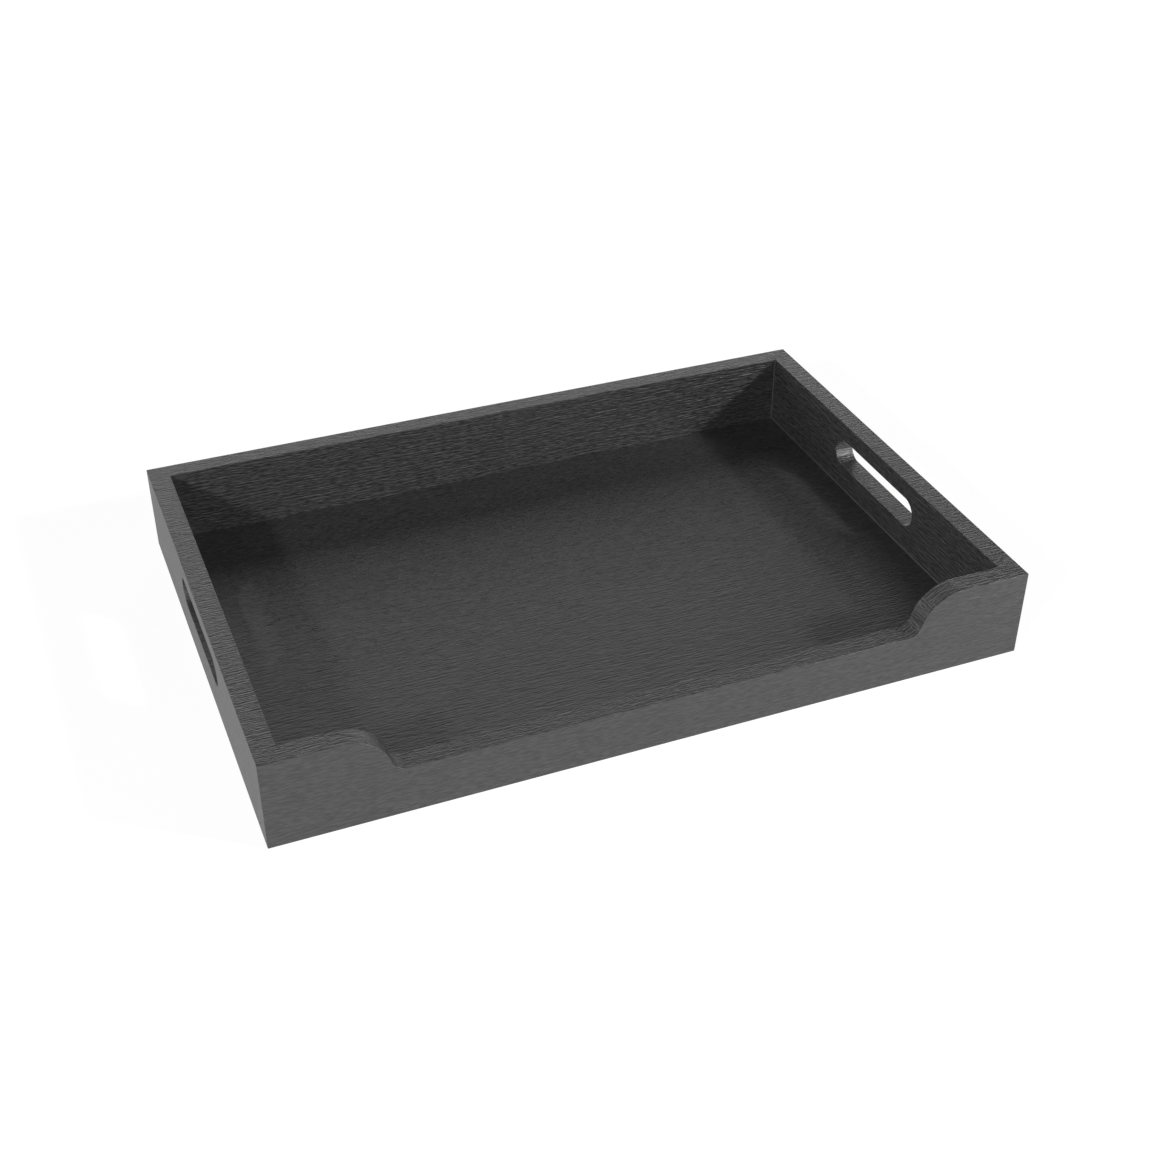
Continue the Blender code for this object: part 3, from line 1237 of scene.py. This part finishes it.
    def hang_backdrop(self) -> None:
        """White all round to the camera. In reflections it darkens upward, as a ceiling does."""
        world = bpy.data.worlds.new("white_backdrop")
        bpy.context.scene.world = world
        world.use_nodes = True
        tree = world.node_tree
        tree.nodes.clear()
        rays = add_node(tree, "ShaderNodeLightPath")
        where = add_node(tree, "ShaderNodeTexCoord")
        height = add_node(tree, "ShaderNodeSeparateXYZ", {0: where.outputs["Generated"]})
        fade = add_node(
            tree, "ShaderNodeMapRange",
            {"Value": height.outputs["Z"], "From Max": self.ceiling_edge,
             "To Min": self.horizon, "To Max": self.ceiling},
        )
        in_gloss = add_node(
            tree, "ShaderNodeMath", {0: rays.outputs["Is Glossy Ray"], 1: fade.outputs[0]},
            operation="MULTIPLY",
        )
        seen = add_node(
            tree, "ShaderNodeMath",
            {0: rays.outputs["Is Camera Ray"], 1: rays.outputs["Is Transmission Ray"]},
            operation="MAXIMUM",
        )
        strength = add_node(
            tree, "ShaderNodeMath", {0: seen.outputs[0], 1: in_gloss.outputs[0]},
            operation="MAXIMUM",
        )
        lit = add_node(
            tree, "ShaderNodeBackground",
            {"Color": (1.0, 1.0, 1.0, 1.0), "Strength": strength.outputs[0]},
        )
        add_node(tree, "ShaderNodeOutputWorld", {"Surface": lit.outputs[0]})

    def build(self) -> None:
        """Sets up the floor, the lamps and the backdrop."""
        self.hang_lamps()
        self.lay_floor()
        self.hang_backdrop()
        bpy.context.scene.view_settings.view_transform = "Standard"


@dataclass(frozen=True)
class Viewpoint:
    """The photograph's camera, solved from the tray's straight edges. Angles are in degrees.

    Attributes:
        yaw: Its turn from looking along +Y, where more is to the left.
        pitch: How far it looks down.
        roll: How far it leans.
        lens_mm: Its lens, on a frame 36 mm wide.
        position: Where it stands.
    """

    yaw: float = -22.26
    pitch: float = 35.01
    roll: float = 0.288
    lens_mm: float = 51.617
    position: Place = (-0.34662, -0.87590, 0.66876)

    def place_camera(self) -> None:
        """Makes the camera and hands it to the scene."""
        yaw, pitch, roll = map(math.radians, (self.yaw, self.pitch, self.roll))
        ahead = Vector((
            -math.sin(yaw) * math.cos(pitch), math.cos(yaw) * math.cos(pitch), -math.sin(pitch)
        ))
        level = Vector((math.cos(yaw), math.sin(yaw), 0.0))
        upright = level.cross(ahead)
        across = level * math.cos(roll) + upright * math.sin(roll)
        up = upright * math.cos(roll) - level * math.sin(roll)
        turned = Matrix((across, up, -ahead)).transposed().to_4x4()
        camera = bpy.data.objects.new("camera", bpy.data.cameras.new("camera"))
        camera.data.lens = self.lens_mm
        camera.matrix_world = Matrix.Translation(self.position) @ turned
        bpy.context.scene.collection.objects.link(camera)
        bpy.context.scene.camera = camera


def main() -> None:
    """Builds the tray's pieces in order, then the studio round them."""
    logging.basicConfig(level=logging.INFO, format="%(name)s: %(message)s")
    sizes = TraySizes()
    rail_finish = StainedAsh().material()
    # Veneer is thin and brushed lightly, so its ridges are shorter and lower than the rails'
    panel_finish = StainedAsh(
        name="black_stained_ash_veneer", stain="#141414", rubbed="#343434", specular_level=0.93,
        grain=OpenGrain(
            ridge_mm=(14.0, 1.4), dash_mm=(4.0, 0.9), relief=0.0004, fleck_share=1.1,
            top_size=(1.0, 1.0),
        ),
    ).material()
    joints = DowelJoints(sizes)
    for side in Side:
        LongRail(sizes, side).build(rail_finish, joints)
    for end in End:
        EndRail(sizes, end).build(rail_finish, joints)
    BasePanel(sizes).build(panel_finish)
    bead_finish = PooledLacquer().material()
    for end in End:
        LacquerBead(sizes, end).build(bead_finish)
    joints.dress(frame["nodes"], TurnedBeech().material())
    Viewpoint().place_camera()
    Studio().build()


if __name__ == "__main__":
    main()
